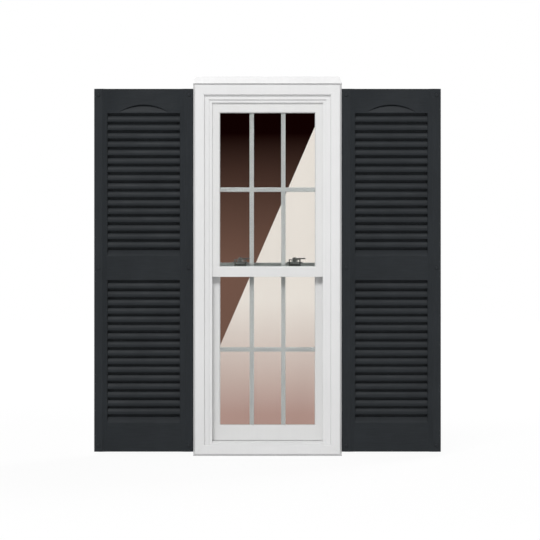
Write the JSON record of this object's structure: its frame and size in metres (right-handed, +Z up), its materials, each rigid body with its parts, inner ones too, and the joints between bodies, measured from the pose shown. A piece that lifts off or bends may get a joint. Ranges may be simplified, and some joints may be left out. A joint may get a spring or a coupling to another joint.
{
  "type": "louvred shutters with window frame",
  "caption": "Pair of fixed louvred shutters, arched in the top rail, either side of a white double-hung window frame with sliding sashes and sash locks.",
  "frame": {"origin": "middle of the lower edge of the window casing, in the wall plane", "axes": "+Z up, +Y into the wall, so the front faces -Y, and +X to the right seen from the front"},
  "size_m": [1.3346, 0.1092, 1.46],
  "materials": {
    "shutter_plastic": "fine moulded wood grain",
    "fastener_plastic": "smooth",
    "casing_vinyl": "satin white",
    "sash_vinyl": "satin white",
    "grid_white": "white enamel",
    "window_glass": "clear",
    "spacer_metal": "mill",
    "balance_steel": "zinc plated",
    "lock_metal": "satin nickel",
    "bush_plastic": "natural",
    "seal_pile": "woven pile"
  },
  "bodies": {
    "frame": {"left_shutter": "shutter_plastic", "right_shutter": "shutter_plastic", "left_shutter_fasteners": "fastener_plastic", "right_shutter_fasteners": "fastener_plastic", "casing_left": "casing_vinyl", "casing_right": "casing_vinyl", "casing_head": "casing_vinyl", "casing_bottom": "casing_vinyl", "head_cap": "casing_vinyl", "left_jamb": "casing_vinyl", "right_jamb": "casing_vinyl", "head_jamb": "casing_vinyl", "sill": "casing_vinyl", "upper_balance_tubes": "balance_steel", "lower_balance_tubes": "balance_steel", "balance_screws": "balance_steel", "balance_bushes": "bush_plastic"},
    "upper_sash": {"upper_sash_frame": "sash_vinyl", "upper_outer_pane": "window_glass", "upper_inner_pane": "window_glass", "upper_spacer": "spacer_metal", "upper_grid": "grid_white", "upper_glazing_beads": "sash_vinyl", "upper_interlock": "sash_vinyl", "upper_pile_seals": "seal_pile", "upper_balance_rods": "balance_steel", "upper_rod_brackets": "balance_steel", "left_keeper": "lock_metal", "right_keeper": "lock_metal"},
    "lower_sash": {"lower_sash_frame": "sash_vinyl", "lower_outer_pane": "window_glass", "lower_inner_pane": "window_glass", "lower_spacer": "spacer_metal", "lower_grid": "grid_white", "lower_glazing_beads": "sash_vinyl", "lower_interlock": "sash_vinyl", "lower_pile_seals": "seal_pile", "lower_balance_rods": "balance_steel", "lower_rod_brackets": "balance_steel", "lower_bottom_seal": "seal_pile", "left_lock_base": "lock_metal", "right_lock_base": "lock_metal", "lock_screws": "lock_metal"},
    "left_lock": {"left_lock_lever": "lock_metal"},
    "right_lock": {"right_lock_lever": "lock_metal"}
  },
  "joints": [
    {"name": "upper_sash_slide", "type": "slide", "parent": "frame", "child": "upper_sash", "axis": [0, 0, 1], "range_m": [-0.55, 0]},
    {"name": "lower_sash_slide", "type": "slide", "parent": "frame", "child": "lower_sash", "axis": [0, 0, 1], "range_m": [0, 0.55]},
    {"name": "left_lock_turn", "type": "hinge", "parent": "lower_sash", "child": "left_lock", "pos_m": [-0.105, 0.046, 0.75], "axis": [0, 0, 1], "range_deg": [0, 180]},
    {"name": "right_lock_turn", "type": "hinge", "parent": "lower_sash", "child": "right_lock", "pos_m": [0.105, 0.046, 0.75], "axis": [0, 0, 1], "range_deg": [0, 180]}
  ]
}
